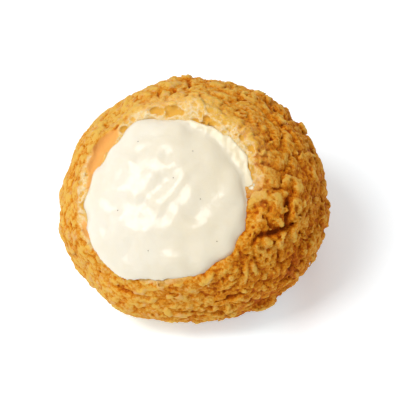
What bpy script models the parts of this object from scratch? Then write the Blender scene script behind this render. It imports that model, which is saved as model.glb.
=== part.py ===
"""Cream puff with a cookie crust, its near shoulder sliced off so that the cream filling shows.

Metres, +Z up. The origin is the middle of the flat base, and the slice looks towards -Y, a little
towards -X, and up. Two pieces: the baked shell and the cream that runs through it.
Every surface is given by its distance from the heart, a point on the axis at the widest level.
"""

import math
from itertools import product

import bmesh
import bpy
import numpy as np
from mathutils import Matrix, Vector

# Overall form
WIDTH = 0.0788  # along X, before the crust's relief
DEPTH = 0.0752  # along Y
HEIGHT = 0.0574
WIDEST_LEVEL = 0.0205  # height of the widest level, where the heart is
LOWER_REACH = 0.0265  # how far the lower half would reach down if it weren't flattened
ROUNDNESS = 2.12  # 2 is an ellipsoid, more is fuller
LEAN = 0.03  # how far the dome leans towards +X, as a share of the height above the heart

# Slice
SLICE_TURN = math.radians(-24)  # from -Y, negative is towards -X
SLICE_TILT = math.radians(55)  # above the horizon
SLICE_DISTANCE = 0.0272  # of the slice's plane from the heart
SLICE_WAVE = 0.0007  # how far the torn face wanders from the plane

# Wall of the shell, crust included
WALL_SIDE = 0.0029
WALL_TOP = 0.0046
WALL_BASE = 0.0045
WALL_LEAN = 0.0006  # thicker than that on the +X side, and thinner on the -X side

# Crust relief
PLATES = 210  # cracked plates of the crust over the whole surface
PLATE_JITTER = 0.045
PLATE_WARP = 0.11
CRACK_WIDTH = 0.0011
CRACK_DEPTH = 0.0011
LUMP_SIZE = 0.0055
LUMP_HEIGHT = 0.00075
SWELL_SIZE = 0.024
SWELL_HEIGHT = 0.0011

# Cream
CREAM_GAP = 0.00045  # to the wall, all round
CREAM_CROWN = 0.0030  # of its dome above the slice's plane
CREAM_CURVE = 0.072  # radius of the dome
CREAM_EDGE = 0.0035  # radius with which the dome rolls into the wall
CREAM_SWIRL_SIZE = 0.010
CREAM_SWIRL_HEIGHT = 0.0007

# Mesh sizes
SHELL_SUBDIVISIONS = 5
CREAM_SEGMENTS = 48  # the cream and the hollow around it have the same mesh, so the gap stays even
CREAM_RINGS = 28
SLICE_PANELS = 30
SLICE_SIDE = 0.090
SLICE_RISE = 0.040

LATTICE = 32  # corners along each side of the noise's repeating block
NOISE_SEED = 11
PLATE_SEED = 5

# Air pocket between the cream and the wall, beside the slice
POCKET_CLOCK = math.radians(-56)  # clockwise from the top of the slice
POCKET_SPREAD = 0.27  # in radians, seen from the heart
POCKET_DEPTH = 0.0070

# Bubbles torn open in the rim: clock angle from the top of the slice in degrees, clockwise, then in
# millimetres the depth inside the crust and the half length around and half width across the rim
RIM_BUBBLES = (
    (-100, 3.0, 1.9, 0.8),
    (-28, 5.2, 3.4, 1.5),
    (-19, 3.2, 1.1, 0.9),
    (-9, 4.6, 1.6, 1.3),
    (5, 3.4, 2.3, 1.1),
    (20, 5.3, 2.6, 1.2),
    (35, 3.7, 1.7, 1.0),
    (56, 4.3, 2.2, 1.0),
    (84, 3.4, 1.3, 0.9),
    (150, 3.2, 3.0, 0.8),
)

HEART = Vector((0, 0, WIDEST_LEVEL))
SLICE_AXIS = Vector(
    (
        math.sin(SLICE_TURN) * math.cos(SLICE_TILT),
        -math.cos(SLICE_TURN) * math.cos(SLICE_TILT),
        math.sin(SLICE_TILT),
    )
)
SLICE_RIGHT = (Vector((1, 0, 0)) - SLICE_AXIS.x * SLICE_AXIS).normalized()
SLICE_UP = SLICE_AXIS.cross(SLICE_RIGHT)


def lattice_noise(points, size, seed):
    """Gradient noise of about -1 to 1, with features of the given size, at an N by 3 array."""
    gradients = np.random.default_rng(seed).normal(size=(LATTICE, LATTICE, LATTICE, 3))
    scaled = points / size
    corner = np.floor(scaled).astype(int)
    inside = scaled - corner
    ease = inside**3 * (inside * (inside * 6 - 15) + 10)
    total = np.zeros(len(points))
    for step in product((0, 1), repeat=3):
        index = (corner + step) % LATTICE
        gradient = gradients[index[:, 0], index[:, 1], index[:, 2]]
        weight = np.prod(np.where(step, ease, 1 - ease), axis=1)
        total += weight * (gradient * (inside - step)).sum(1)
    return total


def plate_centres():
    """Directions of the crust's plates, spread evenly over the sphere and then jittered."""
    turn = np.arange(PLATES) * math.pi * (3 - math.sqrt(5))
    rise = 1 - (2 * np.arange(PLATES) + 1) / PLATES
    across = np.sqrt(1 - rise**2)
    spread = np.stack([across * np.cos(turn), across * np.sin(turn), rise], axis=1)
    spread += np.random.default_rng(PLATE_SEED).normal(scale=PLATE_JITTER, size=spread.shape)
    return spread / np.linalg.norm(spread, axis=1)[:, None]


def form_radius(directions):
    """Distance from the heart to the smooth outer form, along unit directions."""
    x, y, z = directions.T
    x = x - LEAN * np.maximum(z, 0)
    reach = np.where(z > 0, HEIGHT - WIDEST_LEVEL, LOWER_REACH)
    across = np.hypot(x / (WIDTH / 2), y / (DEPTH / 2))
    return (across**ROUNDNESS + np.abs(z / reach) ** ROUNDNESS) ** (-1 / ROUNDNESS)


def crack_depth(directions):
    """How deep the cracks between the plates go, along unit directions."""
    warp = [lattice_noise(directions, 0.32, NOISE_SEED + k) for k in range(3)]
    warped = directions + PLATE_WARP * np.stack(warp, axis=1)
    apart = np.linalg.norm(warped[:, None, :] - plate_centres()[None], axis=2)
    nearest = np.partition(apart, 1, axis=1)[:, :2]
    from_crack = (nearest[:, 1] - nearest[:, 0]) * WIDTH / 4
    return CRACK_DEPTH * np.exp(-((from_crack / CRACK_WIDTH) ** 2))


def outer_radius(directions):
    """Distance from the heart to the crust, with its swells, lumps and cracks."""
    smooth = form_radius(directions)
    surface = directions * smooth[:, None]
    swell = SWELL_HEIGHT * lattice_noise(surface, SWELL_SIZE, NOISE_SEED + 3)
    lumps = LUMP_HEIGHT * lattice_noise(surface, LUMP_SIZE, NOISE_SEED + 4)
    return smooth + swell + lumps - crack_depth(directions)


def hollow_radius(directions):
    """Distance from the heart to the inside of the wall."""
    z = directions[:, 2]
    wall = WALL_SIDE + (WALL_TOP - WALL_SIDE) * np.maximum(z, 0) ** 2
    wall = wall + WALL_LEAN * directions[:, 0]
    wall = wall + 0.15 * WALL_SIDE * lattice_noise(directions, 0.5, NOISE_SEED + 5)
    to_base = (WIDEST_LEVEL - WALL_BASE) / np.maximum(-z, 1e-6)
    return np.minimum(form_radius(directions) - wall, to_base)


def clock_direction(clock, from_axis):
    """Unit direction at an angle from the slice's axis, towards a clock angle seen from outside."""
    around = math.sin(clock) * SLICE_RIGHT + math.cos(clock) * SLICE_UP
    return math.cos(from_axis) * SLICE_AXIS + math.sin(from_axis) * around


def smooth_min(a, b, blend):
    """The smaller of two arrays, rounded off where they are within blend of each other."""
    share = np.clip(0.5 + 0.5 * (b - a) / blend, 0, 1)
    return b * (1 - share) + a * share - blend * share * (1 - share)


def cream_radius(directions):
    """Distance from the heart to the cream: its dome in the slice, and the wall elsewhere."""
    forward = directions @ np.array(SLICE_AXIS)
    depth_of_centre = SLICE_DISTANCE + CREAM_CROWN - CREAM_CURVE
    along = depth_of_centre * forward
    dome = along + np.sqrt(along**2 + CREAM_CURVE**2 - depth_of_centre**2)
    swirl = lattice_noise(directions * dome[:, None], CREAM_SWIRL_SIZE, NOISE_SEED + 6)
    dome = dome + CREAM_SWIRL_HEIGHT * swirl
    rim_angle = math.acos(SLICE_DISTANCE / (WIDTH / 2 - WALL_SIDE))
    pocket = np.array(clock_direction(POCKET_CLOCK, rim_angle))
    near = np.exp(-((directions - pocket) ** 2).sum(1) / POCKET_SPREAD**2)
    wall = hollow_radius(directions) - CREAM_GAP - POCKET_DEPTH * near
    return smooth_min(dome, wall, CREAM_EDGE)


def shape_sphere(mesh, radius):
    """Moves each vertex of a unit sphere out to radius(direction), about the heart."""
    mesh.verts.ensure_lookup_table()
    directions = np.array([v.co.normalized() for v in mesh.verts])
    placed = directions * radius(directions)[:, None] + np.array(HEART)
    for vertex, point in zip(mesh.verts, placed):
        vertex.co = point


def add_object(name, mesh, collection, material=None):
    """Links a bmesh as a named object, shaded smooth with its sharp edges kept."""
    data = bpy.data.meshes.new(name)
    mesh.to_mesh(data)
    mesh.free()
    data.shade_smooth()
    data.set_sharp_from_angle(angle=math.radians(50))
    made = bpy.data.objects.new(name, data)
    collection.objects.link(made)
    if material:
        data.materials.append(material)
    else:
        made.hide_render = True
        made.display_type = "WIRE"
    return made


def add_collection(name):
    made = bpy.data.collections.new(name)
    bpy.context.scene.collection.children.link(made)
    return made


def food_material(name, colour, roughness):
    material = bpy.data.materials.new(name)
    material.use_nodes = True
    shader = material.node_tree.nodes["Principled BSDF"]
    shader.inputs["Base Color"].default_value = (*colour, 1)
    shader.inputs["Roughness"].default_value = roughness
    shader.inputs["Metallic"].default_value = 0
    return material


def make_pastry(collection):
    """The whole puff as baked, flat underneath."""
    mesh = bmesh.new()
    bmesh.ops.create_icosphere(mesh, subdivisions=SHELL_SUBDIVISIONS, radius=1)
    shape_sphere(mesh, outer_radius)
    cut = bmesh.ops.bisect_plane(
        mesh,
        geom=mesh.verts[:] + mesh.edges[:] + mesh.faces[:],
        plane_co=(0, 0, 0),
        plane_no=(0, 0, 1),
        clear_inner=True,
    )
    rim = [e for e in cut["geom_cut"] if isinstance(e, bmesh.types.BMEdge)]
    bmesh.ops.edgeloop_fill(mesh, edges=rim)
    bmesh.ops.recalc_face_normals(mesh, faces=mesh.faces[:])
    return add_object("pastry_shell", mesh, collection, food_material("crust", (0.60, 0.27, 0.05), 0.75))


def sphere_about_slice():
    """A unit sphere with its poles on the slice's axis."""
    mesh = bmesh.new()
    bmesh.ops.create_uvsphere(mesh, u_segments=CREAM_SEGMENTS, v_segments=CREAM_RINGS, radius=1)
    turn = Matrix((SLICE_RIGHT, SLICE_UP, SLICE_AXIS)).transposed()
    bmesh.ops.rotate(mesh, verts=mesh.verts[:], matrix=turn)
    return mesh


def make_hollow(collection):
    """Cutter for the inside of the wall."""
    mesh = sphere_about_slice()
    shape_sphere(mesh, hollow_radius)
    return add_object("hollow", mesh, collection)


def make_slice(collection):
    """Cutter for the missing shoulder: a block with an uneven face on the slice's plane."""
    mesh = bmesh.new()
    bmesh.ops.create_grid(mesh, x_segments=SLICE_PANELS, y_segments=SLICE_PANELS, size=SLICE_SIDE / 2)
    points = np.array([v.co for v in mesh.verts])
    waves = SLICE_WAVE * lattice_noise(points, 0.011, NOISE_SEED + 7)
    waves = waves + SLICE_WAVE * lattice_noise(points, 0.005, NOISE_SEED + 8)
    for vertex, wave in zip(mesh.verts, waves):
        vertex.co.z = wave
    sides = bmesh.ops.extrude_face_region(mesh, geom=mesh.faces[:])
    raised = [v for v in sides["geom"] if isinstance(v, bmesh.types.BMVert)]
    for vertex in raised:
        vertex.co.z = SLICE_RISE
    bmesh.ops.recalc_face_normals(mesh, faces=mesh.faces[:])
    made = add_object("slice", mesh, collection)
    turn = Matrix((SLICE_RIGHT, SLICE_UP, SLICE_AXIS)).transposed()
    made.matrix_world = Matrix.LocRotScale(HEART + SLICE_DISTANCE * SLICE_AXIS, turn, None)
    return made


def rim_reach(clock):
    """Distance from the slice's axis to the crust, in the slice's plane at a clock angle."""
    from_axis = math.acos(SLICE_DISTANCE / (WIDTH / 2))
    for _ in range(4):
        direction = clock_direction(clock, from_axis)
        reach = float(form_radius(np.array([direction]))[0])
        from_axis = math.acos(SLICE_DISTANCE / reach)
    return reach * math.sin(from_axis)


def make_bubble(collection, number, clock, inside, half_length, half_width):
    """Cutter for one bubble in the torn rim: an egg whose middle is on the slice's plane."""
    outward = math.sin(clock) * SLICE_RIGHT + math.cos(clock) * SLICE_UP
    along = outward.cross(SLICE_AXIS)
    middle = HEART + SLICE_DISTANCE * SLICE_AXIS + (rim_reach(clock) - inside) * outward
    turn = Matrix((along, outward, SLICE_AXIS)).transposed()
    mesh = bmesh.new()
    bmesh.ops.create_icosphere(mesh, subdivisions=2, radius=1)
    made = add_object(f"bubble_{number}", mesh, collection)
    size = Vector((half_length, half_width, (half_length + half_width) / 2))
    made.matrix_world = Matrix.LocRotScale(middle, turn, size)
    return made


def cut_away(target, cutter):
    cut = target.modifiers.new(cutter.name, "BOOLEAN")
    cut.operation = "DIFFERENCE"
    cut.object = cutter


def make_cream(collection):
    """The filling, one solid body that runs through the shell."""
    mesh = sphere_about_slice()
    shape_sphere(mesh, cream_radius)
    return add_object("cream_filling", mesh, collection, food_material("cream", (0.92, 0.85, 0.70), 0.3))


def main():
    for old in list(bpy.data.objects):
        bpy.data.objects.remove(old)
    puff = add_collection("cream_puff")
    cutters = add_collection("cutters")
    shell = make_pastry(puff)
    cut_away(shell, make_hollow(cutters))
    for number, (clock, *sizes) in enumerate(RIM_BUBBLES):
        inside, half_length, half_width = (size / 1000 for size in sizes)
        clock = math.radians(clock)
        cut_away(shell, make_bubble(cutters, number, clock, inside, half_length, half_width))
    cut_away(shell, make_slice(cutters))
    make_cream(puff)


main()
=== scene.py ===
"""Looks of the cream puff: cracked cookie crust, torn crumb and smooth cream, on a white floor.

The crust and the cream are each a field of distances on a grid of points: a smooth form that is
roughened, hollowed, sliced and pricked with bubbles. A field is below zero inside the thing, and
the mesh is where it passes zero.

Units are metres. Fields are worked out about the heart, a point on the puff's axis at its widest
level. On the slice, u runs to the right and v up, both from the slice's axis, which passes through
the heart; clock angles run clockwise from the slice's top, as seen from outside.
"""

import math

import bmesh
import bpy
import numpy as np
import openvdb
from mathutils import Matrix, Vector


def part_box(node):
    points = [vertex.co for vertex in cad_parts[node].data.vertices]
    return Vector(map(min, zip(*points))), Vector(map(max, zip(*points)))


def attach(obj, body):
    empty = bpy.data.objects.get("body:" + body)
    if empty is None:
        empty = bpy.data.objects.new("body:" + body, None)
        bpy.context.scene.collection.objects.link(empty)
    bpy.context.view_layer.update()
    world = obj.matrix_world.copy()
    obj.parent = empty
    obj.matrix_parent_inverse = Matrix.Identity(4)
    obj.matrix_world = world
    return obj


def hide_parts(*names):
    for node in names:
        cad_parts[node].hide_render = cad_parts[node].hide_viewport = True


MM = 0.001

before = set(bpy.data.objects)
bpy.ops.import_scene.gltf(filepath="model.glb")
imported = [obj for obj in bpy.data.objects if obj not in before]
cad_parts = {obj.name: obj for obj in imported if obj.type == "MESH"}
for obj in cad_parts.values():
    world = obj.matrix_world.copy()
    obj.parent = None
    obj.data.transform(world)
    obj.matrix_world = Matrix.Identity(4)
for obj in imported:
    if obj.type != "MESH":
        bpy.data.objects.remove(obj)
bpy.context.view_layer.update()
shell_low, shell_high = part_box("pastry_shell")
cream_low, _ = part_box("cream_filling")

# Overall form, from the frame
HALF_WIDTH = (shell_high.x - shell_low.x) / 2
HALF_DEPTH = (shell_high.y - shell_low.y) / 2
HEIGHT = shell_high.z - shell_low.z
WIDEST_LEVEL = 0.361 * HEIGHT
HEART = Vector((0, 0, WIDEST_LEVEL))
UPPER_REACH = HEIGHT - WIDEST_LEVEL
LOWER_REACH = 1.29 * WIDEST_LEVEL  # how deep the form would go if its base weren't flat
ROUNDNESS = 2.12  # power of the form's curve: 2 would be an ellipsoid
LEAN = 0.03  # how far the upper part leans to the right, for each metre of height

# Slice
SLICE_TURN = math.radians(-24)
SLICE_TILT = math.radians(55)
SLICE_DISTANCE = 0.69 * HALF_WIDTH
SLICE_AXIS = Vector(
    (
        math.sin(SLICE_TURN) * math.cos(SLICE_TILT),
        -math.cos(SLICE_TURN) * math.cos(SLICE_TILT),
        math.sin(SLICE_TILT),
    )
)
SLICE_RIGHT = (Vector((1, 0, 0)) - SLICE_AXIS.x * SLICE_AXIS).normalized()
SLICE_UP = SLICE_AXIS.cross(SLICE_RIGHT)

# Wall of the shell
WALL_SIDE = 2.3 * MM
WALL_TOP = 4.3 * MM
WALL_LEAN = 0.4 * MM  # by this much it is thicker on the right and thinner on the left
HOLLOW_FLOOR = cream_low.z

# Grid and meshes
GRID_STEP = 0.35 * MM
GRID_MARGIN = 3 * MM
SHELL_TRIANGLES = 196_000
CREAM_TRIANGLES = 90_000
NOISE_SEED = 3
BUBBLE_SEED = 21

# Cream: a heap over a lower bed, each round, with its middle measured from the slice's axis
CRUMB_BITE = 0.25 * MM  # the crumb sticks in the cream by this much
CREAM_MIDDLE = (-2.6 * MM, -3.2 * MM)
CREAM_RADIUS = 0.605 * HALF_WIDTH
CREAM_CROWN = 3.8 * MM  # of the heap over its edge
CREAM_LEVEL = 0.7 * MM  # of its edge over the slice's plane
CREAM_ROLL = 4.2 * MM  # how softly the heap rolls over at its edge
TOP_DIP = (-5, 45)  # clock angle and half width, in degrees, of the part of its edge that sinks
TOP_DIP_DEPTH = 0.7 * MM
# How its edge departs from round: clock angle, half width in degrees, millimetres outward
CREAM_EDGE = (
    (-140, 30, 1.5),
    (-98, 24, -0.6),
    (-55, 24, -1.2),
    (-17, 12, 2.5),
    (8, 14, 1.7),
    (27, 15, -0.8),
    (115, 32, 1.9),
    (178, 22, -1.2),
)
BED_MIDDLE = (2.9 * MM, -1.0 * MM)
BED_RADIUS = 0.535 * HALF_WIDTH
BED_LEVEL = -0.3 * MM
BED_SLOPE = 0.03
BED_NOTCH = (124, 22)  # clock angle and half width, in degrees, of the part that is cut back
BED_NOTCH_DEPTH = 2.0 * MM
FOLD_BLEND = 0.6 * MM  # how softly the heap meets the bed
UNDERCUT_LEVEL = -1.5 * MM  # below it the heap and the bed spread to fill the hollow
UNDERCUT_SLOPE = 1.3
CREAM_INSET = 1.0 * MM  # how far it keeps inside the smooth form below the slice's plane
SWITCH_OFF = 20 * MM  # taken from a limiting field where the limit doesn't hold

# Light and camera
WORLD_STRENGTH = 0.70
KEY_PLACE = Vector((-0.34, -0.16, 0.59))
KEY_SIZE = 0.29
KEY_POWER = 3.35
CAMERA_LENS = 135
CAMERA_ELEVATION = math.radians(47)
CAMERA_DISTANCE = 0.448
CAMERA_TARGET = Vector((0.0019, 0, 0.418 * HEIGHT))
FLOOR_SIZE = 6


# Fields


def smoothstep(low, high, value):
    """0 at low and before it, 1 at high and past it, smooth between; low may be the larger."""
    share = np.clip((value - low) / (high - low), 0, 1)
    return share * share * (3 - 2 * share)


def smooth_max(a, b, blend):
    """The larger of two fields, rounded off where they are within blend of each other."""
    share = np.clip(0.5 - 0.5 * (b - a) / blend, 0, 1)
    return b * (1 - share) + a * share + blend * share * (1 - share)


def smooth_min(a, b, blend):
    """The smaller of two fields, rounded off where they are within blend of each other."""
    return -smooth_max(-a, -b, blend)


class Grid:
    """Evenly spaced points over a box, with their places about the heart and on the slice."""

    def __init__(self, low, high):
        self.low = np.array(low, np.float32)
        self.shape = tuple(int(n) for n in np.ceil((np.array(high) - self.low) / GRID_STEP))
        ticks = [self.low[k] + GRID_STEP * np.arange(self.shape[k]) for k in range(3)]
        x, y, z = np.meshgrid(*(t.astype(np.float32) for t in ticks), indexing="ij", sparse=True)
        self.x, self.y, self.z = x - HEART.x, y - HEART.y, z - HEART.z
        self.r = np.sqrt(self.x**2 + self.y**2 + self.z**2)

    def along(self, axis):
        """How far each point lies from the heart in the axis's direction."""
        return self.x * axis[0] + self.y * axis[1] + self.z * axis[2]

    def sample(self, field, points):
        """The field's value at each of an N by 3 array of points."""
        place = (points - self.low) / GRID_STEP
        corner = np.clip(np.floor(place).astype(int), 0, np.array(self.shape) - 2)
        share = np.clip(place - corner, 0, 1)
        total = np.zeros(len(points))
        for i in (0, 1):
            for j in (0, 1):
                for k in (0, 1):
                    weight = np.ones(len(points))
                    for axis, step in enumerate((i, j, k)):
                        weight *= share[:, axis] if step else 1 - share[:, axis]
                    total += weight * field[corner[:, 0] + i, corner[:, 1] + j, corner[:, 2] + k]
        return total


class Noise:
    """Noise on a grid, limited to a band around one wavelength."""

    def __init__(self, grid, seed):
        self.shape = grid.shape
        white = np.random.default_rng(seed).standard_normal(self.shape, dtype=np.float32)
        self.spectrum = np.fft.rfftn(white)
        rates = [np.fft.fftfreq(n, GRID_STEP) for n in self.shape[:2]]
        rates.append(np.fft.rfftfreq(self.shape[2], GRID_STEP))
        self.rates = np.meshgrid(*rates, indexing="ij", sparse=True)

    def band(self, wavelength, stretch=(1, 1, 1), spread=0.35):
        """Values with standard deviation 1; stretch draws the features out along X, Y and Z."""
        turns = sum((rate * s) ** 2 for rate, s in zip(self.rates, stretch))
        octaves = np.log(np.sqrt(turns) * wavelength + 1e-6)
        noise = np.fft.irfftn(self.spectrum * np.exp(-((octaves / spread) ** 2) / 2), s=self.shape)
        return (noise / noise.std()).astype(np.float32)


def billow(noise):
    """Rounded bumps from 0 to 1 with creases between them."""
    return 1 - np.exp(-1.5 * np.abs(noise))


def form_distance(x, y, z):
    """Distance outside the smooth form, measured from the heart."""
    x = x - LEAN * np.maximum(z, 0)
    reach = np.where(z > 0, np.float32(UPPER_REACH), np.float32(LOWER_REACH))
    across = np.hypot(x / HALF_WIDTH, y / HALF_DEPTH)
    scale = (across**ROUNDNESS + np.abs(z / reach) ** ROUNDNESS) ** (1 / ROUNDNESS)
    r = np.sqrt(x**2 + y**2 + z**2)
    return r - r / np.maximum(scale, 1e-4)


def wall_thickness(x, z):
    """Thickness of the shell's wall, which grows towards the top."""
    upward = np.clip(z / HALF_WIDTH, 0, 1)
    return WALL_SIDE + (WALL_TOP - WALL_SIDE) * upward**2 + WALL_LEAN * x / HALF_WIDTH


def mound(noise):
    """Flat tops at 0 with valleys between them."""
    return -np.log1p(np.exp(-1.8 * noise)) / 1.8


# Crust

# Sizes of the crust's lumps from the broadest to the finest, and how far they may rise and sink
UNEVENNESS_SIZE = 24 * MM
PATCH_SIZE = 15 * MM
CLUSTER_SIZE = 9.5 * MM
LUMP_SIZE = 4.6 * MM
RIDGE_SIZE = 3.6 * MM
FOLD_SIZE = 3.4 * MM
CLOD_SIZE = 2.6 * MM
GRAIN_SIZE = 1.25 * MM
LUMPS_LOW, LUMPS_HIGH = -1.4, 1.2  # in millimetres
CRUST_LOW = -1.9  # in millimetres, with the creases and swells

# Creases and steps in the crust. Each runs between two places, given as the azimuth and elevation
# in degrees as seen from the heart, with azimuth 0 at the front and growing to the right. Then in
# millimetres the heights on the left and on the right of its way, and its widths on the left and
# on the right.
CREASES = (
    ((52, 30), (48, 25), 0.7, -1.5, 4.0, 1.2),
    ((48, 25), (40, 26), 0.8, -1.7, 4.0, 1.4),
    ((40, 26), (33, 28), 0.7, -1.6, 3.5, 1.3),
    ((33, 28), (28, 25), 0.4, -1.1, 2.5, 1.2),
    ((49, 9), (45, 1), -1.3, -1.5, 0.9, 1.1),
    ((11, -1), (22, 2), -1.1, 0.5, 0.6, 2.0),
    ((60, 29), (60, 21), -1.2, -0.9, 1.0, 1.5),
    ((95, 40), (79, 33), 1.1, 0.6, 1.6, 1.0),
    ((90, 33), (76, 20), 0.9, -0.9, 1.4, 1.0),
    ((83, 43), (72, 31), 0.8, -1.0, 1.4, 1.2),
    ((124, 52), (113, 48), -1.4, -1.4, 1.6, 1.6),
    ((-144, 46), (-158, 49), -0.8, -0.9, 0.9, 1.2),
    ((-150, 62), (-166, 64), -1.1, -0.9, 0.9, 1.3),
    ((-177, 60), (-176, 48), -1.3, -1.3, 0.6, 0.6),
    ((146, 62), (149, 50), -1.2, -1.2, 0.7, 0.7),
    ((131, 52), (131, 40), -1.2, -1.1, 0.7, 0.7),
    ((97, 26), (94, 14), -1.2, -1.2, 0.8, 0.8),
    ((-92, 37), (-88, 30), -0.8, -0.8, 0.8, 1.1),
    ((-40, 14), (-33, 11), -0.9, -0.7, 0.8, 1.3),
    ((-36, 2), (-28, 1), -1.0, -0.7, 0.7, 0.9),
    ((-8, -7), (18, -10), -1.0, 0.3, 0.6, 1.2),
    ((18, -3), (31, -8), -0.8, 0.3, 0.6, 1.2),
    ((31, -10), (48, -7), -1.2, -0.8, 0.9, 1.6),
)
CREASE_TURN = 0.4 * MM  # half the width of the step from one side's height to the other's
CREASE_FADE = 1.2 * MM  # how far a crease runs out past its ends

# Broad swells of the crust: azimuth, elevation, height in millimetres and half width in degrees
SWELLS = (
    (-45, -20, 2.0, 22),
    (-78, -12, 1.2, 12),
    (-97, 7, 1.2, 10),
    (-117, 23, -0.4, 15),
    (116, 25, 0.4, 14),
    (90, 3, 0.8, 9),
    (20, -20, -0.6, 30),
    (48, -22, 0.5, 12),
    (178, 43, 0.8, 20),
    (-138, 38, 1.0, 13),
)


def swell_height(grid):
    """Height of the broad swells, in millimetres."""
    total = 0
    for azimuth, elevation, height, half_width in SWELLS:
        middle = crust_point(azimuth, elevation)
        toward = grid.along(middle / np.linalg.norm(middle)) / grid.r
        narrow = 1 - math.cos(math.radians(half_width))
        total = total + height * np.exp((toward - 1) / narrow)
    return total


def crust_point(azimuth, elevation):
    """The place on the smooth form in that direction from the heart, in degrees."""
    azimuth, elevation = math.radians(azimuth), math.radians(elevation)
    across = math.cos(elevation)
    way = np.array(
        (across * math.sin(azimuth), -across * math.cos(azimuth), math.sin(elevation))
    )
    return way * (1 - float(form_distance(*way)))


def near(grid, places, margin):
    """The part of the grid around some places, as slices of its arrays and as its points."""
    places = np.array(places) + np.array(HEART)
    start = np.floor((places.min(axis=0) - margin - grid.low) / GRID_STEP).astype(int)
    stop = np.ceil((places.max(axis=0) + margin - grid.low) / GRID_STEP).astype(int) + 1
    start, stop = np.maximum(start, 0), np.minimum(stop, grid.shape)
    cut = tuple(slice(a, max(a, b)) for a, b in zip(start, stop))
    return cut, (grid.x[cut[0]], grid.y[:, cut[1]], grid.z[:, :, cut[2]])


def crease_height(grid):
    """Height of the marks in the crust, in millimetres."""
    total = np.zeros(grid.shape, np.float32)
    for start, end, left_height, right_height, left, right in CREASES:
        start, end = crust_point(*start), crust_point(*end)
        cut, (x, y, z) = near(grid, (start, end), 2.2 * max(left, right) * MM)
        length = np.linalg.norm(end - start)
        way = (end - start) / length
        outward = (start + end) / np.linalg.norm(start + end)
        side = np.cross(outward, way)
        x, y, z = x - start[0], y - start[1], z - start[2]
        along = x * way[0] + y * way[1] + z * way[2]
        beside = x * side[0] + y * side[1] + z * side[2]
        past_end = np.maximum(np.maximum(-along, along - length), 0)
        turn = smoothstep(-CREASE_TURN, CREASE_TURN, beside)
        width = (left * turn + right * (1 - turn)) * MM
        height = left_height * turn + right_height * (1 - turn)
        total[cut] += height * np.exp(-((beside / width) ** 2) - (past_end / CREASE_FADE) ** 2)
    return total


def crust_lumps(grid, noise, right):
    """The clusters of lumps, and the finer lumps on them, both about 0 and in millimetres.

    Near the base the lumps are drawn out into level folds, and on the right into upright ridges.
    """
    low = smoothstep(0.2 * HEIGHT, 0.05 * HEIGHT, grid.z + WIDEST_LEVEL)
    patches = smoothstep(-1.2, 1.2, noise.band(PATCH_SIZE))
    clusters = billow(noise.band(CLUSTER_SIZE)) - 0.6
    lumps = noise.band(LUMP_SIZE)
    lumps += low * (noise.band(FOLD_SIZE, stretch=(2.8, 2.8, 0.7)) - lumps)
    lumps += 0.7 * right * (noise.band(RIDGE_SIZE, stretch=(0.9, 0.9, 2.2)) - lumps)
    lumps = 0.8 * (billow(lumps) - 0.6) + 0.25 * (mound(lumps) + 0.6)
    clods = mound(noise.band(CLOD_SIZE)) + 0.6
    grains = noise.band(GRAIN_SIZE)
    fine = lumps * (0.5 + 0.6 * patches) + clods * (0.34 - 0.14 * patches) + 0.11 * grains
    return clusters, fine


def crust_relief(grid, noise):
    """Height of the crust over the smooth form, and how far down between its lumps a point is."""
    right = smoothstep(0.2 * HALF_WIDTH, 0.75 * HALF_WIDTH, grid.x)
    rough = 0.6 + 0.5 * smoothstep(-0.75 * HALF_WIDTH, 0.6 * HALF_WIDTH, grid.x)
    clusters, fine = crust_lumps(grid, noise, right)
    creases = crease_height(grid)
    relief = rough * ((0.9 + 0.7 * right) * clusters + 0.85 * fine)
    relief = smooth_min(smooth_max(relief, LUMPS_LOW, 0.5), LUMPS_HIGH, 0.5)
    height = relief + creases + swell_height(grid) + 0.5 * noise.band(UNEVENNESS_SIZE)
    height = MM * smooth_max(height, CRUST_LOW, 0.4)
    # how far down between its lumps a point is: the crust's colour darkens there as painted shade
    crevice = 0.37 - 0.42 * fine - 0.2 * clusters - 0.3 * np.minimum(creases, 0.3)
    return height.astype(np.float32), crevice.astype(np.float32)


# Sliced rim

# Large bubbles torn open by the slice: clock angle in degrees, then in millimetres the distance
# from the slice's axis and the half length around and half width across the rim. The first list
# is of long pockets that a smooth skin lines.
SKINNED_BUBBLES = (
    (-52, 24.9, 5.0, 2.4),
    (-66, 24.6, 4.2, 1.8),
    (-78, 24.2, 3.5, 0.8),
    (-112, 27.0, 2.4, 0.8),
)
LARGE_BUBBLES = (
    (-20.6, 21.4, 3.4, 1.7),
    (-8, 23.6, 1.2, 1.2),
    (2.4, 23.4, 2.3, 1.5),
    (-22.7, 24.8, 2.4, 0.8),
    (-32.5, 24.8, 0.9, 0.8),
    (8.4, 21.2, 1.0, 0.6),
    (19.3, 22.7, 2.1, 0.7),
    (27, 25.4, 1.5, 1.0),
    (33.8, 23.0, 2.5, 0.9),
    (35.7, 26.6, 1.5, 0.6),
    (15, 25.6, 1.3, 0.6),
    (48, 26.2, 1.6, 0.8),
    (-97, 26.2, 1.4, 0.6),
    (-112, 27.0, 1.2, 0.7),
    (-121, 27.2, 1.3, 0.6),
    (175, 26.0, 2.4, 0.7),
    (160, 25.4, 1.6, 0.5),
)
SMALL_BUBBLE_COUNT = 520
SMALLEST_BUBBLE = 0.33  # half size in millimetres
SMALL_BUBBLE_RANGE = 0.8  # how much larger the largest of them are
WEB_SIZE = 3.6 * MM
FINE_WEB_SIZE = 1.9 * MM
RAG_SIZE = 7 * MM
RIM_ROUNDING = 0.7 * MM
POCKET_ROUNDING = 0.3 * MM
BUBBLE_ROUNDING = 0.15 * MM
BASE_ROUNDING = 0.8 * MM
# Clock angle and half width, in degrees, of parts of the rim and of the crust beside it
BAKED_RIM = (130, 44)  # browned like the crust
BARE_CRUST = (22, 42)  # pale and bare, like the crumb
SUNNY_CRUMB = (48, 38)  # yellower
TOASTED_CRUMB = (142, 50)  # browner


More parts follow.
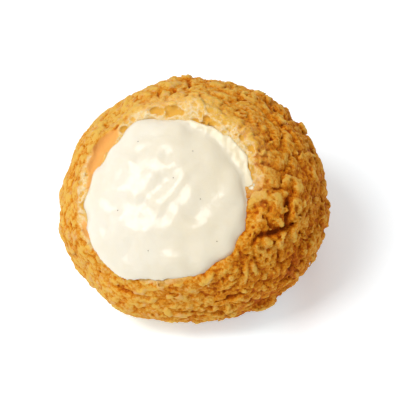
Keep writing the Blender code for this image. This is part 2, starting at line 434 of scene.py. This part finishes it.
def angle_bump(clock, middle, half_width):
    """1 at the middle clock angle, falling to 0 away from it; middle and half width in degrees."""
    apart = (clock - math.radians(middle) + math.pi) % (2 * math.pi) - math.pi
    return np.exp(-((apart / math.radians(half_width)) ** 2))


def in_slice(grid):
    """Places across, up and out of the slice, on the grid."""
    return grid.along(SLICE_RIGHT), grid.along(SLICE_UP), grid.along(SLICE_AXIS)


def on_slice(clock, across, out=0.0):
    """Points at clock angles and distances from the slice's axis, out from the slice's plane."""
    outward = np.outer(np.sin(clock), SLICE_RIGHT) + np.outer(np.cos(clock), SLICE_UP)
    distance = np.zeros(len(clock)) + SLICE_DISTANCE + out
    return np.outer(distance, SLICE_AXIS) + across[:, None] * outward


def crust_radius(clock):
    """Distance from the slice's axis to the crust, on the slice's plane."""
    reach = np.full(len(clock), 0.7 * HALF_WIDTH)
    for _ in range(12):
        reach -= 1.1 * form_distance(*on_slice(clock, reach).T)
    return reach


def cream_radius(clock):
    """Distance from the slice's axis to the cream's edge, on the slice's plane."""
    u, v = CREAM_MIDDLE
    toward = u * np.sin(clock) + v * np.cos(clock)
    return toward + np.sqrt(toward**2 + CREAM_RADIUS**2 - u**2 - v**2)


def listed_bubbles(rows):
    """Centres, half widths, clock angles and ratios of length to width of the bubbles in a list."""
    clock, across, half_length, half_width = np.array(rows).T
    clock = np.radians(clock)
    centres = on_slice(clock, across * MM)
    return centres, half_width * MM, clock, half_length / half_width


def small_bubbles():
    """The same four things for small bubbles, strewn over the rim and larger towards its top."""
    rng = np.random.default_rng(BUBBLE_SEED)
    clock = np.radians(rng.uniform(-180, 180, SMALL_BUBBLE_COUNT))
    top = smoothstep(-1.1, 0.9, np.cos(clock - math.radians(20)))
    keep = rng.uniform(size=SMALL_BUBBLE_COUNT) < 0.5 + 0.5 * top
    keep &= angle_bump(clock, *BAKED_RIM) < 0.45
    clock, top = clock[keep], top[keep]
    share = rng.uniform(0.1, 0.95, len(clock))
    larger = rng.uniform(size=len(clock)) ** 3
    size = (SMALLEST_BUBBLE + SMALL_BUBBLE_RANGE * larger * (0.3 + 0.7 * top)) * MM
    out = rng.uniform(-0.6, 0.6, len(clock)) * size
    across = crust_radius(clock) * share + cream_radius(clock) * (1 - share)
    return on_slice(clock, across, out), size, clock, rng.uniform(1.0, 1.7, len(size))


def bubble_field(grid, bubbles):
    """Distance outside the nearest bubble, on the grid."""
    field = np.full(grid.shape, 5 * MM, np.float32)
    for centre, size, clock, longer in zip(*bubbles):
        tangent = np.array(math.cos(clock) * SLICE_RIGHT - math.sin(clock) * SLICE_UP)
        carve_bubble(grid, field, centre, size, tangent, longer)
    return field


def carve_bubble(grid, field, centre, size, tangent, longer):
    """Lowers the field to the distance outside one egg that is drawn out along tangent."""
    place = (centre + np.array(HEART) - grid.low) / GRID_STEP
    reach = size * longer / GRID_STEP + 2
    start = np.maximum(np.floor(place - reach).astype(int), 0)
    stop = np.minimum(np.ceil(place + reach).astype(int) + 1, grid.shape)
    if (stop <= start).any():
        return
    cut = tuple(slice(a, b) for a, b in zip(start, stop))
    x = grid.x[cut[0]] - centre[0]
    y = grid.y[:, cut[1]] - centre[1]
    z = grid.z[:, :, cut[2]] - centre[2]
    along = x * tangent[0] + y * tangent[1] + z * tangent[2]
    squeezed = x**2 + y**2 + z**2 - along**2 * (1 - 1 / longer**2)
    distance = np.sqrt(np.maximum(squeezed, 0)) - size
    field[cut] = np.minimum(field[cut], distance)


def shell_fields(grid, form, noise, cream, opening):
    """The shell's field, and the fields that its colours follow.

    The rim is ragged with webs of crumb, except where it is baked and has the crust's own lumps.
    """
    relief, crevice = crust_relief(grid, noise)
    outer = form - relief
    coarse, fine = noise.band(WEB_SIZE), noise.band(FINE_WEB_SIZE)
    webs = 0.6 * np.exp(-((coarse / 0.3) ** 2)) + 0.4 * np.exp(-((fine / 0.35) ** 2))
    rag = MM * (0.3 * noise.band(RAG_SIZE) + 0.8 * webs - 0.3)
    across, up, out = in_slice(grid)
    baked = angle_bump(np.arctan2(across, up), *BAKED_RIM)
    rag = rag + baked * (0.9 * relief - rag)
    above = out - SLICE_DISTANCE - rag
    skinned = bubble_field(grid, listed_bubbles(SKINNED_BUBBLES))
    large = bubble_field(grid, listed_bubbles(LARGE_BUBBLES))
    bubbles = np.minimum(large, bubble_field(grid, small_bubbles()))
    shell = smooth_max(outer, above, RIM_ROUNDING)
    shell = smooth_max(shell, -skinned, POCKET_ROUNDING)
    shell = smooth_max(shell, -bubbles, BUBBLE_ROUNDING)
    shell = np.maximum(shell, -opening)
    shell = np.maximum(shell, -CRUMB_BITE - cream)
    shell = smooth_max(shell, -(grid.z + WIDEST_LEVEL), BASE_ROUNDING)
    return {
        "shell": shell,
        "outer": outer,
        "crevice": crevice,
        "above": above,
        "web": webs + 0.5 * np.exp(-((bubbles / (0.35 * MM)) ** 2)),
        "skinned": skinned,
        "bubbles": bubbles,
    }


# Cream

# Strokes in the cream's surface, in millimetres on the slice: start, end, height, and the widths on
# the left and on the right of its way
STROKES = (
    ((8.6, 9.7), (-6.2, -3.5), -0.75, 1.7, 1.7),
    ((-11.2, 9.1), (1.8, 13.0), 0.45, 2.0, 1.2),
    ((7.4, 6.2), (-3.2, -7.1), 0.55, 1.2, 2.4),
    ((-21.0, -2.7), (-20.0, -14.0), 0.45, 1.2, 1.6),
    ((-13.3, -3.5), (-12.7, -16.0), 0.45, 1.6, 1.2),
    ((-17.4, -4.0), (-16.8, -14.5), -0.35, 1.0, 1.0),
    ((-10.6, 7.7), (-15.6, -2.7), 0.40, 1.3, 1.3),
    ((18.3, -12.4), (1.8, -21.0), 0.25, 2.0, 2.0),
    ((6.5, -8.2), (8.5, -9.0), -0.25, 0.7, 0.7),
    ((10.5, -8.0), (12.0, -8.6), -0.22, 0.7, 0.7),
    ((14.5, -8.6), (16.5, -9.6), -0.22, 0.8, 0.8),
    ((-8.0, -9.0), (-4.5, -16.5), 0.30, 1.6, 1.2),
)
STROKE_SHARE = 0.33  # of the heights in the list
STROKE_FADE = 1.8 * MM  # how far a stroke runs out past its ends
RIPPLE_SIZE = 3.6 * MM

# Vanilla specks in the cream, in millimetres on the slice
SPECKS = (
    (7.1, 10.6),
    (1.8, 2.9),
    (-14.5, -5.6),
    (-5.6, -17.4),
    (13.9, -15.3),
    (-9.0, 14.2),
    (9.5, -3.4),
)
SPECK_RADIUS = 0.14 * MM


def ripples(noise, u):
    """Fine ripples along the strokes, strongest on the left."""
    fine = noise.band(RIPPLE_SIZE, stretch=(1.6, 1.6, 2.6), spread=0.3)
    return fine * (0.35 + 0.65 * smoothstep(12 * MM, -6 * MM, u))


def stroke_height(u, v):
    """Height that the strokes add to the cream at places on the slice."""
    total = 0
    for start, end, height, left, right in STROKES:
        start, end = np.array(start) * MM, np.array(end) * MM
        length = np.hypot(*(end - start))
        way = (end - start) / length
        along = (u - start[0]) * way[0] + (v - start[1]) * way[1]
        beside = (v - start[1]) * way[0] - (u - start[0]) * way[1]
        past_end = np.maximum(np.maximum(-along, along - length), 0)
        width = np.where(beside > 0, left, right) * MM
        fall = (beside / width) ** 2 + (past_end / STROKE_FADE) ** 2
        total = total + height * MM * np.exp(-fall)
    return total


def heap_field(noise, u, v, rise, undercut, height):
    """The heap of cream, and the distance beyond its edge."""
    across, up = u - CREAM_MIDDLE[0], v - CREAM_MIDDLE[1]
    clock = np.arctan2(across, up)
    edge = CREAM_RADIUS + 0.25 * MM * noise.band(9 * MM)
    for middle, half_width, outward in CREAM_EDGE:
        edge = edge + outward * MM * angle_bump(clock, middle, half_width)
    reach = np.hypot(across, up) / edge
    beside = (reach - 1) * edge
    level = CREAM_LEVEL - TOP_DIP_DEPTH * angle_bump(clock, *TOP_DIP) * reach**4
    heap = rise - level - CREAM_CROWN * (1 - reach**2.6) - height * (1 - reach**4)
    return smooth_max(heap, beside - undercut, CREAM_ROLL), beside


def bed_field(noise, u, v, rise, undercut, height):
    """The lower bed of cream around the heap, and the distance beyond its edge."""
    across, up = u - BED_MIDDLE[0], v - BED_MIDDLE[1]
    beside = np.hypot(across, up) - BED_RADIUS + 0.25 * MM * noise.band(5 * MM)
    beside = beside + BED_NOTCH_DEPTH * angle_bump(np.arctan2(across, up), *BED_NOTCH)
    bed = rise - BED_LEVEL - 0.3 * height - BED_SLOPE * v - 0.06 * MM * noise.band(3.6 * MM)
    return smooth_max(bed, beside - undercut, 0.3 * MM), beside


def cream_field(grid, form, noise):
    """The cream's field, the opening for it in the rim, and the distance beyond the heap's edge.

    The cream is a heap over a lower bed, and both fill the hollow below them.
    """
    u, v, out = in_slice(grid)
    rise = out - SLICE_DISTANCE
    undercut = UNDERCUT_SLOPE * np.maximum(UNDERCUT_LEVEL - rise, 0)
    height = STROKE_SHARE * stroke_height(u, v)
    height = height + MM * (0.16 * noise.band(13 * MM) + 0.1 * ripples(noise, u))
    heap, beside_heap = heap_field(noise, u, v, rise, undercut, height)
    bed, beside_bed = bed_field(noise, u, v, rise, undercut, height)
    cream = smooth_min(heap, bed, FOLD_BLEND)
    limit = form + CREAM_INSET - SWITCH_OFF * smoothstep(0, 0.6 * MM, rise)
    cream = np.maximum(cream, limit)
    wall = wall_thickness(grid.x, grid.z)
    inside = np.maximum(form + wall, HOLLOW_FLOOR - (grid.z + WIDEST_LEVEL))
    inside = inside - SWITCH_OFF * smoothstep(-3.0 * MM, -0.5 * MM, rise)
    cream = np.maximum(cream, inside)
    opening = np.minimum(beside_heap + 0.5 * MM, beside_bed + 0.2 * MM)
    opening = np.maximum(opening, -0.2 * MM - rise)
    return cream, opening, beside_heap


# Meshes


def largest_piece(points, quads):
    """The largest connected piece of a surface, without the crumbs that float beside it."""
    root = np.arange(len(points))
    while True:
        lowest = root[quads].min(axis=1)
        joined = root.copy()
        np.minimum.at(joined, root[quads].ravel(), np.repeat(lowest, 4))
        while (joined[joined] != joined).any():
            joined = joined[joined]
        if (joined == root).all():
            break
        root = joined
    kept = root == np.bincount(root).argmax()
    number = np.cumsum(kept) - 1
    return points[kept], number[quads[kept[quads[:, 0]]]]


def mesh_from_field(name, grid, field, triangles):
    """A mesh of the field's zero surface, thinned to about that many triangles."""
    volume = openvdb.FloatGrid(1.0)
    volume.copyFromArray(np.clip(field, -4 * GRID_STEP, 4 * GRID_STEP))
    points, _, quads = volume.convertToPolygons()
    points, quads = largest_piece(points, quads)
    points = points * GRID_STEP + grid.low
    mesh = bpy.data.meshes.new(name)
    mesh.vertices.add(len(points))
    mesh.vertices.foreach_set("co", points.astype(np.float32).ravel())
    mesh.loops.add(quads.size)
    mesh.loops.foreach_set("vertex_index", quads[:, ::-1].ravel().astype(np.int32))
    mesh.polygons.add(len(quads))
    mesh.polygons.foreach_set("loop_start", np.arange(0, quads.size, 4, dtype=np.int32))
    mesh.polygons.foreach_set("loop_total", np.full(len(quads), 4, dtype=np.int32))
    mesh.update(calc_edges=True)
    made = bpy.data.objects.new(name, mesh)
    bpy.context.scene.collection.objects.link(made)
    thin = made.modifiers.new("thin", "DECIMATE")
    thin.ratio = min(1, triangles / (2 * len(quads)))
    apply_modifiers(made)
    made.data.shade_smooth()
    return made


def apply_modifiers(obj):
    """Makes the modifiers' result the object's own mesh."""
    depsgraph = bpy.context.evaluated_depsgraph_get()
    result = bpy.data.meshes.new_from_object(obj.evaluated_get(depsgraph))
    old = obj.data
    obj.modifiers.clear()
    obj.data = result
    bpy.data.meshes.remove(old)
    result.name = obj.name


def vertex_places(obj):
    """The places of the object's vertices, as an N by 3 array."""
    places = np.empty(len(obj.data.vertices) * 3, np.float32)
    obj.data.vertices.foreach_get("co", places)
    return places.reshape(-1, 3)


def set_attribute(obj, name, values):
    """Gives the mesh one number at each vertex, for its material to read."""
    layer = obj.data.attributes.new(name, "FLOAT", "POINT")
    layer.data.foreach_set("value", values.astype(np.float32))


# Materials


class Nodes:
    """Short ways to add shader nodes to one material."""

    def __init__(self, name):
        self.material = bpy.data.materials.new(name)
        self.material.use_nodes = True
        self.tree = self.material.node_tree
        self.shader = self.tree.nodes["Principled BSDF"]

    def link(self, source, target):
        self.tree.links.new(source, target)

    def put(self, target, value):
        """Links the target to a socket, or sets it to a constant."""
        if isinstance(value, bpy.types.NodeSocket):
            self.link(value, target)
        else:
            target.default_value = value

    def attribute(self, name):
        node = self.tree.nodes.new("ShaderNodeAttribute")
        node.attribute_name = name
        return node.outputs["Fac"]

    def noise(self, size, detail=3, roughness=0.55):
        """Noise between 0 and 1 with features of that size."""
        node = self.tree.nodes.new("ShaderNodeTexNoise")
        node.inputs["Scale"].default_value = 1 / size
        node.inputs["Detail"].default_value = detail
        node.inputs["Roughness"].default_value = roughness
        coordinates = self.tree.nodes.new("ShaderNodeTexCoord")
        self.link(coordinates.outputs["Object"], node.inputs["Vector"])
        return node.outputs["Fac"]

    def math(self, operation, a, b):
        node = self.tree.nodes.new("ShaderNodeMath")
        node.operation = operation
        self.put(node.inputs[0], a)
        self.put(node.inputs[1], b)
        return node.outputs[0]

    def span(self, value, low, high, to_low=0.0, to_high=1.0):
        """A smooth rise from to_low to to_high as the value goes from low to high."""
        node = self.tree.nodes.new("ShaderNodeMapRange")
        node.interpolation_type = "SMOOTHSTEP"
        self.put(node.inputs["Value"], value)
        node.inputs["From Min"].default_value = low
        node.inputs["From Max"].default_value = high
        node.inputs["To Min"].default_value = to_low
        node.inputs["To Max"].default_value = to_high
        return node.outputs["Result"]

    def mix(self, share, a, b):
        """Colour a where the share is 0, and colour b where it is 1."""
        node = self.tree.nodes.new("ShaderNodeMix")
        node.data_type = "RGBA"
        colours = [s for s in node.inputs if s.type == "RGBA"]
        self.put(node.inputs["Factor"], share)
        self.put(colours[0], a)
        self.put(colours[1], b)
        return next(s for s in node.outputs if s.type == "RGBA")

    def bump(self, height, distance, strength, normal=None):
        """A normal that makes heights of 0 to 1 look as high as the distance."""
        node = self.tree.nodes.new("ShaderNodeBump")
        self.put(node.inputs["Strength"], strength)
        node.inputs["Distance"].default_value = distance
        self.put(node.inputs["Height"], height)
        if normal is not None:
            self.link(normal, node.inputs["Normal"])
        return node.outputs["Normal"]


# Colours

PAINT = 0.79  # share of the light that a white of 255 sends back


def linear(level):
    """Share of the light that a colour level from 0 to 255 sends back."""
    level = level / 255
    return PAINT * (level / 12.92 if level <= 0.04045 else ((level + 0.055) / 1.055) ** 2.4)


def rgb(red, green, blue):
    """Base colour from levels of 0 to 255, as the thing looks under the lights here."""
    return (linear(red), linear(green), linear(blue), 1)


CRUST_LIGHT = rgb(255, 200, 88)
CRUST_MIDDLE = rgb(243, 151, 18)
# Pale painted sheen on the lumps
CRUST_PAINTED_SHEEN = rgb(248, 194, 122)
# Darker colours: painted shade deep in the cracks, and baked colour with painted shade elsewhere
CRUST_DARK = rgb(204, 96, 2)
CRUST_DEEP = rgb(144, 60, 2)
CRUMB_PALE = rgb(246, 223, 176)
CRUMB_GOLD = rgb(242, 193, 96)
# Deeper gold down in the bubbles' pits, painted shade there
CRUMB_DEEP = rgb(236, 176, 68)
CRUMB_YELLOW = rgb(238, 182, 48)
CRUMB_TOASTED = rgb(226, 172, 92)
CRUMB_BROWN = rgb(172, 112, 46)
# Orange skin of the pockets, made brighter as painted light shining through the thin wall
INNER_SKIN_WITH_PAINTED_LIGHT = rgb(250, 182, 98)
CREAM_LIGHT = rgb(243, 236, 219)
# Richer cream in random patches, and the painted shade that darkens the cream towards the right
CREAM_RICH_AND_SHADED = rgb(236, 225, 199)
CREAM_YELLOW = rgb(240, 226, 192)
VANILLA = rgb(124, 108, 86)

# The floor's colour and glow near the puff and away from it, and where the one turns to the other.
# The brighter glow near the puff is painted light that lifts its shadow; both are tinted against the
# crust's orange light.
FLOOR_NEAR, FLOOR_FAR = (0.83, 0.91, 0.93, 1), (0.84, 0.872, 0.885, 1)
PAINTED_LIGHT_NEAR, GLOW_FAR = (0.80, 0.94, 1.0, 1), (0.475, 0.475, 0.475, 1)
GLOW_STRENGTH = 0.42
TINT_MIDDLE = (-10 * MM, -12 * MM, 0)
TINT_INNER, TINT_OUTER = 0.85 * HALF_WIDTH, 1.2 * HALF_WIDTH


def crust_colour(n):
    """From light on the lumps, with pale patches of painted sheen, to dark in the cracks, where the
    darkening is painted shade, with a fine speckle.
    """
    browning_and_shade = n.attribute("browning_and_shade")
    speckle = n.noise(0.7 * MM, detail=5, roughness=0.8)
    speckle = n.math("MULTIPLY", n.math("SUBTRACT", speckle, 0.5), 1.15)
    # painted shade: the crust darkens where it sinks between its lumps
    tone = n.math("ADD", n.attribute("crevice"), speckle)
    tone = n.math("ADD", tone, browning_and_shade)
    # painted sheen: pale patches on the lumps stand in for highlights, fewer where the crust is
    # darker
    painted_sheen = n.span(n.noise(2.6 * MM, detail=3), 0.5, 0.68)
    painted_sheen = n.math("MULTIPLY", painted_sheen, n.span(browning_and_shade, -0.12, 0.05, 1.0, 0.35))
    colour = n.mix(painted_sheen, CRUST_LIGHT, CRUST_PAINTED_SHEEN)
    colour = n.mix(n.span(tone, 0.10, 0.42), colour, CRUST_MIDDLE)
    colour = n.mix(n.span(tone, 0.36, 0.62), colour, CRUST_DARK)
    return n.mix(n.span(tone, 0.60, 0.95), colour, CRUST_DEEP)


def crumb_colour(n):
    """Pale fibres over gold crumb, deeper gold down in the bubbles' pits as painted shade, browner
    at the toasted part, and smooth in the skinned pockets, whose skin is painted brighter as light
    shining through the thin wall.
    """
    pit = n.math("MULTIPLY", n.attribute("pit"), 0.8)
    strands = n.math("SUBTRACT", n.noise(0.5 * MM, detail=4, roughness=0.7), 0.5)
    fibre = n.math("ADD", n.attribute("web"), n.math("MULTIPLY", strands, 2.2))
    fibre = n.math("SUBTRACT", fibre, pit)
    crumb = n.mix(n.math("MULTIPLY", n.attribute("sunny"), 0.75), CRUMB_GOLD, CRUMB_YELLOW)
    # painted shade: deeper gold down in the bubbles' pits
    crumb = n.mix(pit, crumb, CRUMB_DEEP)
    crumb = n.mix(n.span(fibre, -0.1, 1.0), crumb, CRUMB_PALE)
    toasted = n.mix(n.span(fibre, -0.3, 0.6), CRUMB_BROWN, CRUMB_TOASTED)
    crumb = n.mix(n.math("MULTIPLY", n.attribute("toast"), 0.95), crumb, toasted)
    # painted light: the pockets' skin is brighter, as if lit through the thin wall
    return n.mix(n.attribute("skin"), crumb, INNER_SKIN_WITH_PAINTED_LIGHT)


def pastry_material():
    """Dry, rough crust and crumb."""
    n = Nodes("pastry")
    crust = n.attribute("crust")
    n.link(n.mix(crust, crumb_colour(n), crust_colour(n)), n.shader.inputs["Base Color"])
    n.shader.inputs["Roughness"].default_value = 0.7
    n.shader.inputs["Specular IOR Level"].default_value = 0.09
    n.shader.inputs["Subsurface Weight"].default_value = 0.2
    n.shader.inputs["Subsurface Radius"].default_value = (1.0, 0.5, 0.2)
    n.shader.inputs["Subsurface Scale"].default_value = 1.2 * MM
    strength = n.span(crust, 0, 1, 0.45, 1)
    coarse = n.bump(n.noise(1.3 * MM, detail=5, roughness=0.75), 0.8 * MM, strength)
    fine = n.bump(n.noise(0.5 * MM, detail=3, roughness=0.7), 0.36 * MM, strength, coarse)
    n.link(fine, n.shader.inputs["Normal"])
    return n.material


def cream_material():
    """Smooth, glossy custard cream, darker to the right as painted shade, a little richer in patches
    at random, and yellower in the bed.
    """
    n = Nodes("cream")
    rich_and_shade = n.math("MULTIPLY", n.span(n.noise(9 * MM, detail=2), 0.35, 0.65), 0.3)
    # painted shade: the cream darkens towards the right, away from the light
    rich_and_shade = n.math("ADD", rich_and_shade, n.math("MULTIPLY", n.attribute("right"), 0.7))
    shade = n.mix(rich_and_shade, CREAM_LIGHT, CREAM_RICH_AND_SHADED)
    shade = n.mix(n.attribute("bed"), shade, CREAM_YELLOW)
    n.link(shade, n.shader.inputs["Base Color"])
    n.shader.inputs["Roughness"].default_value = 0.2
    n.shader.inputs["Specular IOR Level"].default_value = 0.21
    n.shader.inputs["Subsurface Weight"].default_value = 0.6
    n.shader.inputs["Subsurface Radius"].default_value = (0.8, 0.7, 0.55)
    n.shader.inputs["Subsurface Scale"].default_value = 1.5 * MM
    soft = n.bump(n.noise(3.5 * MM, detail=3, roughness=0.5), 0.35 * MM, 0.5)
    n.link(soft, n.shader.inputs["Normal"])
    return n.material


def speck_material():
    """Ground vanilla under a film of cream."""
    n = Nodes("vanilla")
    n.shader.inputs["Base Color"].default_value = VANILLA
    n.shader.inputs["Roughness"].default_value = 0.7
    return n.material


def floor_material():
    """White ground; near the puff it glows brighter, a painted light that lifts the puff's shadow,
    and it is tinted against the crust's orange light on it.
    """
    n = Nodes("floor")
    coordinates = n.tree.nodes.new("ShaderNodeTexCoord")
    distance = n.tree.nodes.new("ShaderNodeVectorMath")
    distance.operation = "DISTANCE"
    n.link(coordinates.outputs["Object"], distance.inputs[0])
    distance.inputs[1].default_value = TINT_MIDDLE
    away = n.span(distance.outputs["Value"], TINT_INNER, TINT_OUTER)
    n.link(n.mix(away, FLOOR_NEAR, FLOOR_FAR), n.shader.inputs["Base Color"])
    # painted light: the floor glows brighter and cyan near the puff, lifting the puff's shadow there
    n.link(n.mix(away, PAINTED_LIGHT_NEAR, GLOW_FAR), n.shader.inputs["Emission Color"])
    n.shader.inputs["Emission Strength"].default_value = GLOW_STRENGTH
    n.shader.inputs["Roughness"].default_value = 1.0
    n.shader.inputs["Specular IOR Level"].default_value = 0.0
    return n.material


# Pieces, light and camera


def make_puff():
    """The shell, its cream and the specks in the cream."""
    margin = np.full(3, GRID_MARGIN)
    grid = Grid(np.array(shell_low) - margin, np.array(shell_high) + margin)
    form = form_distance(grid.x, grid.y, grid.z)
    noise = Noise(grid, NOISE_SEED)
    cream, opening, beside_heap = cream_field(grid, form, noise)
    make_shell(grid, shell_fields(grid, form, noise, cream, opening))
    make_cream(grid, cream, beside_heap)
    make_specks(grid, cream)


def crust_share(outer, above, clock):
    """1 on the crust and 0 on the crumb, with little crust where it is bare beside the slice."""
    crust = smoothstep(-0.75 * MM, -0.15 * MM, outer)
    bare = smoothstep(-5.5 * MM, -1.4 * MM, above) * angle_bump(clock, *BARE_CRUST)
    crust = crust * (1 - 0.9 * bare)
    return np.maximum(crust, smoothstep(0.2, 0.75, angle_bump(clock, *BAKED_RIM)))


def browning_and_shade(x, z):
    """How much darker than the middle the crust is: more to the right and low down there, and a
    little less at the top. Part of it is baked colour and part is painted shade, on the right side
    away from the light and on the underside there.
    """
    darkening = 0.19 * smoothstep(-0.6 * HALF_WIDTH, 0.7 * HALF_WIDTH, x) - 0.12
    # painted shade on the underside low on the right
    darkening = darkening + 0.22 * smoothstep(9 * MM, 4 * MM, z) * smoothstep(-10 * MM, 15 * MM, x)
    return darkening - 0.06 * smoothstep(0.65 * HEIGHT, 0.95 * HEIGHT, z)


def make_shell(grid, fields):
    """The baked shell, with the numbers at its vertices that its colours follow."""
    shell = mesh_from_field("crust_and_crumb", grid, fields["shell"], SHELL_TRIANGLES)
    places = vertex_places(shell)
    at = {name: grid.sample(field, places) for name, field in fields.items()}
    about_heart = places - np.array(HEART)
    clock = np.arctan2(about_heart @ np.array(SLICE_RIGHT), about_heart @ np.array(SLICE_UP))
    in_bubble = smoothstep(0.4 * MM, 0, at["bubbles"])
    set_attribute(shell, "sunny", angle_bump(clock, *SUNNY_CRUMB))
    set_attribute(shell, "crust", crust_share(at["outer"], at["above"], clock))
    # painted shade in the crust's cracks
    set_attribute(shell, "crevice", at["crevice"])
    set_attribute(shell, "skin", smoothstep(0.5 * MM, 0.1 * MM, at["skinned"]))
    # painted shade down in the bubbles' pits
    set_attribute(shell, "pit", smoothstep(0.1 * MM, 0.8 * MM, -at["above"]) * in_bubble)
    set_attribute(shell, "web", at["web"] * smoothstep(-6 * MM, 0, at["above"]))
    set_attribute(shell, "toast", angle_bump(clock, *TOASTED_CRUMB))
    # partly baked colour, partly painted shade on the right and its underside
    set_attribute(shell, "browning_and_shade", browning_and_shade(places[:, 0], places[:, 2]))
    shell.data.materials.clear()
    shell.data.materials.append(pastry_material())
    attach(shell, "root")
    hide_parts("pastry_shell")


def make_cream(grid, field, beside_heap):
    """The cream, with the numbers at its vertices that its colours follow."""
    cream = mesh_from_field("custard_cream", grid, field, CREAM_TRIANGLES)
    places = vertex_places(cream)
    beside = grid.sample(beside_heap, places)
    set_attribute(cream, "bed", smoothstep(-0.6 * MM, 0.8 * MM, beside))
    # painted shade: how far right a vertex lies darkens the cream there
    right = (places - np.array(HEART)) @ np.array(SLICE_RIGHT)
    set_attribute(cream, "right", smoothstep(-16 * MM, 16 * MM, right))
    cream.data.materials.clear()
    cream.data.materials.append(cream_material())
    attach(cream, "root")
    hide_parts("cream_filling")


def make_specks(grid, cream):
    """The vanilla specks, each half sunk in the cream's surface."""
    mesh = bpy.data.meshes.new("vanilla_specks")
    balls = bmesh.new()
    depths = np.linspace(-1 * MM, 8 * MM, 200)
    for u, v in SPECKS:
        foot = u * MM * SLICE_RIGHT + v * MM * SLICE_UP + SLICE_DISTANCE * SLICE_AXIS + HEART
        line = np.array(foot) + np.outer(depths, SLICE_AXIS)
        depth = float(depths[np.argmax(grid.sample(cream, line) > 0)])
        place = Matrix.Translation(foot + depth * SLICE_AXIS)
        bmesh.ops.create_icosphere(balls, subdivisions=2, radius=SPECK_RADIUS, matrix=place)
    balls.to_mesh(mesh)
    balls.free()
    mesh.shade_smooth()
    specks = bpy.data.objects.new("vanilla_specks", mesh)
    bpy.context.scene.collection.objects.link(specks)
    specks.data.materials.append(speck_material())
    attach(specks, "root")


def make_floor():
    bpy.ops.mesh.primitive_plane_add(size=FLOOR_SIZE)
    floor = bpy.context.object
    floor.name = "floor"
    floor.data.materials.append(floor_material())


def make_world():
    world = bpy.data.worlds.new("studio")
    world.use_nodes = True
    background = world.node_tree.nodes["Background"]
    background.inputs["Color"].default_value = (1, 1, 1, 1)
    background.inputs["Strength"].default_value = WORLD_STRENGTH
    bpy.context.scene.world = world


def make_key_light():
    """One soft light above on the left, aimed at the puff's middle."""
    data = bpy.data.lights.new("key", "AREA")
    data.shape = "SQUARE"
    data.size = KEY_SIZE
    data.energy = KEY_POWER
    light = bpy.data.objects.new("key", data)
    light.location = KEY_PLACE
    middle = Vector((0, 0, HEIGHT / 2))
    light.rotation_euler = (middle - light.location).to_track_quat("-Z", "Y").to_euler()
    bpy.context.scene.collection.objects.link(light)


def make_camera():
    data = bpy.data.cameras.new("camera")
    data.lens = CAMERA_LENS
    camera = bpy.data.objects.new("camera", data)
    bpy.context.scene.collection.objects.link(camera)
    back = Vector((0, -math.cos(CAMERA_ELEVATION), math.sin(CAMERA_ELEVATION)))
    camera.location = CAMERA_TARGET + CAMERA_DISTANCE * back
    camera.rotation_euler = (-back).to_track_quat("-Z", "Y").to_euler()
    bpy.context.scene.camera = camera


def main():
    make_puff()
    make_floor()
    make_world()
    make_key_light()
    make_camera()
    bpy.context.scene.view_settings.view_transform = "Standard"


main()
